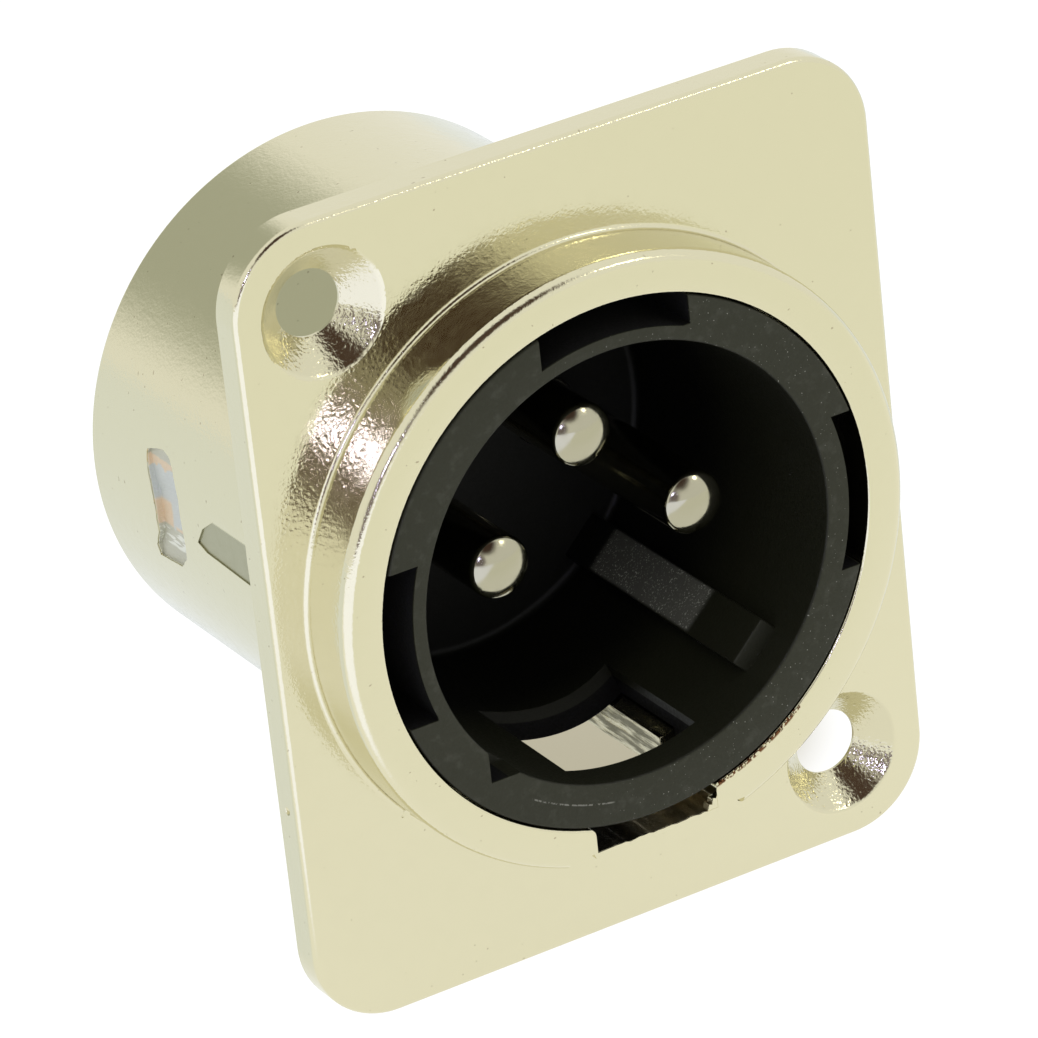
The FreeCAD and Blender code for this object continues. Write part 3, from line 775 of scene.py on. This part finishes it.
class SOCKET_OT_housing(bpy.types.Operator):
    """Model the plated casting: flange, collar, body, latch notch and screw holes"""

    bl_idname = "socket.housing"
    bl_label = "Housing"

    def execute(self, context):
        size = wanted("housing")
        front = -size.flange_thickness
        mouth = mouth_place()
        floor = mouth + size.mouth_depth
        step = size.tube_length - size.lock_depth

        shell = turned("tube", self.section(size, front, mouth, floor, step))
        shell = fused(self.flange(size, front), shell)
        shell.name = "housing_shell"

        self.latch_relief(shell, size, mouth)
        self.latch_notch(shell, size, mouth, floor)
        for turn in THIRDS:
            low = (-size.entry_half, floor - PAST / 2, size.tube_bore - PAST)
            high = (size.entry_half, step + PAST / 2, size.lock_radius)
            cut(shell, block("entry", low, high, turn=math.radians(turn)))
        for x, z in screw_places():
            tool = self.screw_tool(size, front)
            tool.location = (x, 0, z)
            cut(shell, tool)
        self.ejector_pad(shell, size)
        self.broken_gate(shell, size)
        self.wear(shell, size, front, mouth)
        finished(shell, plated_casting(), ["housing"])
        return {"FINISHED"}

    def section(self, size, front, mouth, floor, step):
        """Half section of the collar, mouth and body, as (radius, y)."""
        lip, edge, tail = size.lip, size.collar_edge, size.tube_edge
        root = size.collar_radius + size.collar_root
        points = arc((size.mouth_radius + lip, mouth + lip), lip, 180, 270, 3)
        points += arc((size.collar_radius - edge, mouth + edge), edge, 270, 360, 6)
        points += arc((root, front - size.collar_root), size.collar_root, 180, 90, 5)
        points += [(root, front / 2), (size.tube_radius, front / 2)]
        points += arc((size.tube_radius - tail, size.tube_length - tail), tail, 0, 90, 6)
        points += arc((size.lock_radius + lip, size.tube_length - lip), lip, 90, 180, 3)
        points += [(size.lock_radius, step), (size.tube_bore, step)]
        points += [(size.tube_bore, floor), (size.mouth_radius, floor)]
        points.append(points[0])
        return points

    def flange(self, size, front):
        """Plate with round corners and a rounded front edge, open in the middle."""
        pick(None)
        bpy.ops.mesh.primitive_plane_add(size=1, rotation=(math.radians(90), 0, 0))
        plate = added("flange")
        plate.scale = (size.flange_width, size.flange_height, 1)
        bpy.ops.object.transform_apply(location=True, rotation=True, scale=True)
        edit_all()
        bpy.ops.mesh.bevel(offset=size.flange_corner, segments=20, affect="VERTICES")
        bpy.ops.mesh.select_all(action="SELECT")
        bpy.ops.mesh.extrude_region_move(TRANSFORM_OT_translate={"value": (0, front, 0)})
        bpy.ops.mesh.select_mode(type="EDGE")
        bpy.ops.mesh.region_to_loop()
        bpy.ops.mesh.bevel(offset=size.flange_edge, segments=6, affect="EDGES")
        closed()
        inside_wall = (size.tube_bore + size.tube_radius) / 2 + 0.3 * MM
        low, high = front - PAST, PAST
        return cut(plate, turned("core", [(0, low), (inside_wall, low), (inside_wall, high), (0, high)]))

    def screw_tool(self, size, front):
        """Cutter for a countersunk screw hole with a rounded rim, on the Y axis."""
        lip, rim, hole = size.lip, size.countersink, size.screw_radius
        wide = rim + lip
        clear = 0.2 * MM
        points = [(0, front - PAST), (wide + clear, front - PAST)]
        points += [(wide + clear, front - clear), (wide, front)]
        points += [(rim + lip * 0.3, front + lip * 0.25), (rim - lip * 0.3, front + lip * 0.75)]
        points += [(hole, front + rim - hole + lip * 0.4), (hole, PAST), (0, PAST)]
        return turned("screw_tool", points, steps=96)

    def latch_relief(self, shell, size, mouth):
        """Flat-bottomed relief under the collar, which leaves a thin web under the notch."""
        wide, reach, flat = size.relief_half, size.relief_reach, size.notch_flat
        under = flat + size.web
        slant = 1.1 * MM
        bevel = 0.08 * MM
        inner = size.notch_half + bevel
        outer = inner + bevel
        outline = [(-wide, slant - reach), (slant - wide, -reach)]
        outline += [(wide - slant, -reach), (wide, slant - reach)]
        outline += [(wide, -flat), (outer, -flat), (inner, -under)]
        outline += [(-inner, -under), (-outer, -flat), (-wide, -flat)]
        cut(shell, prism("relief", outline, mouth - PAST, PAST))

    def latch_notch(self, shell, size, mouth, floor):
        """Notch in the mouth with a ragged lower edge and a burr, and the window in the body behind it."""
        half, flat, bend = size.notch_half, size.notch_flat, size.notch_round
        side = half + bend
        drop = math.sqrt((size.mouth_radius + bend) ** 2 - side**2)
        meets = math.degrees(math.atan2(drop, side))
        left = arc((-side, -drop), bend, meets, 0)
        right = arc((side, -drop), bend, 180, 180 - meets)
        chance = random.Random(5)
        shallow, deep = -0.03, 0.035
        teeth = 26
        ragged = []
        for i in range(1, teeth):
            ragged.append((-half + 2 * half * i / teeth, -flat + chance.uniform(shallow, deep) * MM))
        bore = -size.tube_bore
        outline = [(left[0][0], bore), *left, (-half, -flat), *ragged]
        outline += [(half, -flat), *right, (right[-1][0], bore)]
        cut(shell, prism("notch", outline, mouth - PAST, floor))
        burr = [(2.1, -10.75), (2.2, -10.45), (2.32, -10.5), (2.38, -10.25)]
        burr += [(2.5, -10.3), (2.62, -10.05), (2.75, -10.1), (2.75, -10.75)]
        fused(shell, prism("burr", millimetres(burr), mouth + 0.01 * MM, mouth + 0.35 * MM))
        low = (-size.port_half, floor, -size.relief_reach)
        high = (size.port_half, size.port_end, -size.tube_bore + PAST)
        cut(shell, block("port", low, high))

    def ejector_pad(self, shell, size):
        """Flat pad on the left side, where an ejector pin pushed the casting out."""
        outline = [(7.38, 1.13), (5.08, 1.22), (4.95, -0.54), (8.16, -0.4), (8.78, -0.2), (8.3, 0.5)]
        outside, flat = -size.tube_radius - PAST, -10.485 * MM
        cut(shell, prism("pad", millimetres(outline), outside, flat, axis="X"))

    def broken_gate(self, shell, size):
        """Rough pit on the left side, where the casting's gate broke off, with a slit along its front."""
        outside = -size.tube_radius - PAST
        pit_bottom, slit_bottom = -10.2 * MM, -9.7 * MM
        pit = [(12.39, 2.19), (11.24, 2.55), (10.8, 2.36), (10.54, 2.1), (10.05, 1.02)]
        pit += [(9.87, -0.74), (10.04, -1.38), (10.69, -1.97), (12.41, -2.13), (12.43, -1.67)]
        pit += [(11.98, -0.97), (11.93, 0.06), (12.05, 0.63), (12.34, 1.48), (12.42, 1.98)]
        tool = prism("pit", millimetres(pit), outside, pit_bottom, axis="X")
        pick(tool)
        edit_all()
        bpy.ops.mesh.quads_convert_to_tris()
        bpy.ops.mesh.subdivide(number_cuts=3)
        # Subdivide makes its vertices in another order each run, so sort them before they are shaken
        bpy.ops.mesh.sort_elements(type="CURSOR_DISTANCE", elements={"VERT"})
        bpy.ops.transform.vertex_random(offset=0.035 * MM, seed=3)
        bpy.ops.object.mode_set(mode="OBJECT")
        cut(shell, tool)
        slit = [(10.52, 1.96), (10.08, 1.02), (9.93, 0.1), (9.91, -0.74), (9.98, -1.1)]
        slit += [(10.1, -1.05), (10.12, -0.7), (10.2, -0.45), (10.08, -0.1), (10.02, 0.15)]
        slit += [(10.15, 0.4), (10.12, 0.8), (10.35, 1.0), (10.32, 1.3), (10.5, 1.5), (10.62, 1.7)]
        cut(shell, prism("slit", millimetres(slit), outside, slit_bottom, axis="X"))

    def wear(self, shell, size, front, mouth):
        """Chips along the mouth's lower right lip, a nick in the left edge and a blemish on the face."""
        chance = random.Random(11)
        count, first, sweep = 17, -75, 23
        marks = []
        for i in range(count):
            turn = math.radians(first + sweep * i / (count - 1) + chance.uniform(-0.3, 0.3))
            reach = size.mouth_radius + chance.uniform(0.02, 0.10) * MM
            place = (reach * math.cos(turn), mouth, reach * math.sin(turn))
            marks.append((place, chance.uniform(0.06, 0.105) * MM))
        nick = (-size.flange_width / 2 - 0.05 * MM, front / 2, -6.47 * MM)
        blemish = (-8.77 * MM, front - 0.2 * MM, -7.86 * MM)
        marks += [(nick, 0.2 * MM), (blemish, 0.27 * MM)]
        pick(None)
        chips = []
        for place, radius in marks:
            bpy.ops.mesh.primitive_ico_sphere_add(subdivisions=1, radius=radius, location=place)
            chips.append(added("chip"))
        for chip in chips:
            chip.select_set(True)
        bpy.ops.object.join()
        cut(shell, bpy.context.object)


# Gaps in the insert's rim: turn in degrees, shift and radius of the wall behind in millimetres
RIM_GAPS = ((0, -0.18, 9.2), (-90, -0.35, 8.85), (180, 0.2, 8.87))


class SOCKET_OT_insert(bpy.types.Operator):
    """Model the black moulding: rim, cup, key, latch window, floor, skirt and lugs"""

    bl_idname = "socket.insert"
    bl_label = "Insert"

    def execute(self, context):
        size = wanted("insert")
        housing = wanted("housing")
        mouth = mouth_place()
        seat = mouth + housing.mouth_depth - PLAY
        floor = mouth + size.cup_depth
        base = floor + size.base_thickness
        skirt = housing.tube_length - size.skirt_inset
        body = turned("insert_moulding", self.section(size, mouth, seat, floor, base, skirt))
        self.rim_gaps(body, size, mouth, seat)
        self.corner_relief(body, mouth)
        self.key(body, size, mouth, floor)
        self.latch_window(body, size, mouth)
        self.lugs(body, size, housing.tube_length - housing.lock_depth)
        self.pin_holes(body, floor, base)
        self.contact_groove(body, size, skirt)
        finished(body, black_moulding(), ["insert"])
        return {"FINISHED"}

    def section(self, size, mouth, seat, floor, base, skirt):
        """Half section of the rim, cup, floor and skirt, as (radius, y)."""
        bend, edge = size.floor_round, size.edge
        points = [(0, floor)] + arc((size.bore_radius - bend, floor - bend), bend, 90, 0, 4)
        points += arc((size.bore_radius + edge, mouth + edge), edge, 180, 270, 4)
        points += arc((size.rim_radius - edge, mouth + edge), edge, 270, 360, 4)
        points += [(size.rim_radius, seat), (size.cup_radius, seat), (size.cup_radius, skirt)]
        points += [(size.skirt_bore, skirt), (size.skirt_bore, base), (0, base)]
        return points

    def rim_gaps(self, body, size, mouth, seat):
        """Three gaps in the rim, each a stretch of a ring between two parallel sides."""
        outer, low, high = size.rim_radius + PAST, mouth - PAST, seat + PAST
        for turn, shift, wall in RIM_GAPS:
            inner, middle = wall * MM, shift * MM
            ring = turned("gap", [(inner, low), (outer, low), (outer, high), (inner, high), (inner, low)])
            near = (size.bore_radius, low - PAST, middle - size.gap_half)
            far = (outer + PAST, seat, middle + size.gap_half)
            window = block("gap_window", near, far, turn=math.radians(turn))
            cut(body, combined(ring, window, "INTERSECT"))

    def corner_relief(self, body, mouth):
        """Square relief in the rim, at the lower left."""
        low = (-6.5 * MM, mouth - PAST, -6.4 * MM)
        high = (-5 * MM, mouth + 1.3 * MM, -5 * MM)
        cut(body, block("corner", low, high))

    def key(self, body, size, mouth, floor):
        """Polarising key along the cup's wall, 46 degrees below pin 1."""
        into_wall = 0.4 * MM
        low = (size.bore_radius - size.key_height, mouth + size.key_setback, -size.key_half)
        high = (size.bore_radius + into_wall, floor + PAST, size.key_half)
        fused(body, block("key", low, high, turn=math.radians(46), edge=size.edge))

    def latch_window(self, body, size, mouth):
        """Window below the mouth for the plug's latch, with a leaning rear wall."""
        start = mouth + size.latch_start
        end = start + size.latch_length
        slope = size.latch_slope / (size.cup_radius - size.bore_radius)
        back = end - size.latch_slope
        inner, outer = -size.bore_radius + PAST, -size.rim_radius - PAST
        outline = [(start, inner), (end + slope * PAST, inner)]
        outline += [(back, -size.cup_radius), (back, outer), (start, outer)]
        cut(body, prism("latch", outline, -size.latch_half, size.latch_half, axis="X"))

    def lugs(self, body, size, step):
        """Three bayonet lugs that lock behind the rear step of the body's bore."""
        low = (-size.lug_half, step + PLAY, -size.lug_reach)
        high = (size.lug_half, step + PLAY + size.lug_length, -size.bore_radius)
        for turn in THIRDS:
            fused(body, block("lug", low, high, turn=math.radians(turn)))

    def pin_holes(self, body, floor, base):
        """Stepped holes that seat the pins and their shoulders."""
        pins = wanted("pins")
        narrow, wide = pins.seat_radius + PLAY, pins.shoulder_radius + PLAY
        low, step, high = floor - PAST, base - pins.shoulder_length - PLAY, base + PAST
        for x, z in pin_places():
            points = [(0, low), (narrow, low), (narrow, step), (wide, step), (wide, high), (0, high)]
            hole = turned("hole", points, steps=64)
            hole.location = (x, 0, z)
            cut(body, hole)

    def contact_groove(self, body, size, skirt):
        """Groove along the cup's right side for the ground contact."""
        low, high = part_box("ground_contact")
        room = 0.06 * MM
        near = (low.x - room, low.y - room, low.z - room)
        far = (size.cup_radius + PAST, skirt + PAST, high.z + room)
        cut(body, block("groove", near, far))


class SOCKET_OT_pins(bpy.types.Operator):
    """Model the three contact pins with their shoulders and solder cups"""

    bl_idname = "socket.pins"
    bl_label = "Pins"

    def execute(self, context):
        size = wanted("pins")
        insert = wanted("insert")
        mouth = mouth_place()
        floor = mouth + insert.cup_depth
        base = floor + insert.base_thickness
        end = base + size.cup_length
        wide = 2 * size.cup_radius
        pin = turned("pin", self.section(size, mouth + size.setback, floor, base, end), steps=96)
        cut(pin, block("cutaway", (-wide, end - size.cutaway, 0), (wide, end + PAST, wide)))
        broken_edges(pin, 0.04 * MM)
        material = plated_pin()
        for number, (x, z) in enumerate(pin_places(), start=1):
            pick(pin)
            bpy.ops.object.duplicate()
            one = added("contact_pin_%d" % number)
            one.location = (x, 0, z)
            bpy.ops.object.transform_apply(location=True, rotation=True, scale=True)
            finished(one, material, ["pin_%d" % number])
        bpy.data.objects.remove(pin)
        return {"FINISHED"}

    def section(self, size, tip, floor, base, end):
        """Half section from the domed tip to the solder cup's well, as (radius, y)."""
        edge, bend = size.edge, size.dome_round
        ball = (size.radius**2 + size.dome**2) / (2 * size.dome)
        turn = math.degrees(math.asin((size.radius - bend) / (ball - bend)))
        meets = tip + ball - (ball - bend) * math.cos(math.radians(turn))
        shoulder = base - size.shoulder_length
        well = end - size.well_depth
        points = arc((0, tip + ball), ball, -90, turn - 90, 10)
        points += arc((size.radius - bend, meets), bend, turn - 90, 0, 8)
        points += [(size.radius, floor), (size.seat_radius, floor)]
        points += [(size.seat_radius, shoulder), (size.shoulder_radius, shoulder)]
        points += arc((size.shoulder_radius - edge, base - edge), edge, 0, 90, 3)
        points += [(size.cup_radius, base)]
        points += arc((size.cup_radius - edge, end - edge), edge, 0, 90, 3)
        points += arc((size.well_radius + edge, end - edge), edge, 90, 180, 3)
        points += [(size.well_radius, well), (0, well + 0.4 * MM)]
        return points


class SOCKET_OT_ground_contact(bpy.types.Operator):
    """Finish the bent ground contact with its solder tag"""

    bl_idname = "socket.ground_contact"
    bl_label = "Ground Contact"

    def execute(self, context):
        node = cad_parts["ground_contact"]
        strip = node.copy()
        strip.data = node.data.copy()
        for key in list(strip.keys()):
            del strip[key]
        strip.parent = None
        strip.name = "ground_strip"
        strip.data.name = "ground_strip"
        context.scene.collection.objects.link(strip)
        pick(strip)
        edit_all()
        bpy.ops.mesh.remove_doubles(threshold=MERGE_DISTANCE)
        bpy.ops.mesh.dissolve_limited(angle_limit=math.radians(2))
        bpy.ops.object.mode_set(mode="OBJECT")
        bpy.ops.mesh.customdata_custom_splitnormals_clear()
        broken_edges(strip, 0.05 * MM, angle=25)
        finished(strip, tinned_strip(), ["ground_contact"])
        return {"FINISHED"}


class SOCKET_PT_parts(bpy.types.Panel):
    """Lists the socket's pieces"""

    bl_idname = "SOCKET_PT_parts"
    bl_label = "Panel Socket"
    bl_space_type = "VIEW_3D"
    bl_region_type = "UI"
    bl_category = "Socket"

    def draw(self, context):
        for operator in OPERATORS:
            self.layout.operator(operator.bl_idname)
        for group in GROUPS:
            box = self.layout.box()
            sizes = wanted(group)
            for name in sizes.bl_rna.properties.keys():
                if name not in ("rna_type", "name"):
                    box.prop(sizes, name)


GROUPS = {
    "housing": HousingSizes,
    "insert": InsertSizes,
    "pins": PinSizes,
    "finishes": Finishes,
    "stage": StageSizes,
}
OPERATORS = [SOCKET_OT_stage, SOCKET_OT_housing, SOCKET_OT_insert, SOCKET_OT_pins, SOCKET_OT_ground_contact]
CLASSES = [*GROUPS.values(), *OPERATORS, SOCKET_PT_parts]


def register():
    for item in CLASSES:
        bpy.utils.register_class(item)
    for name, group in GROUPS.items():
        setattr(bpy.types.Scene, "socket_" + name, PointerProperty(type=group))


def unregister():
    for name in GROUPS:
        delattr(bpy.types.Scene, "socket_" + name)
    for item in reversed(CLASSES):
        bpy.utils.unregister_class(item)


def main():
    register()
    bpy.ops.socket.stage()
    bpy.ops.socket.housing()
    bpy.ops.socket.insert()
    bpy.ops.socket.pins()
    bpy.ops.socket.ground_contact()
    pick(None)
    bpy.context.view_layer.update()


if __name__ == "__main__":
    main()
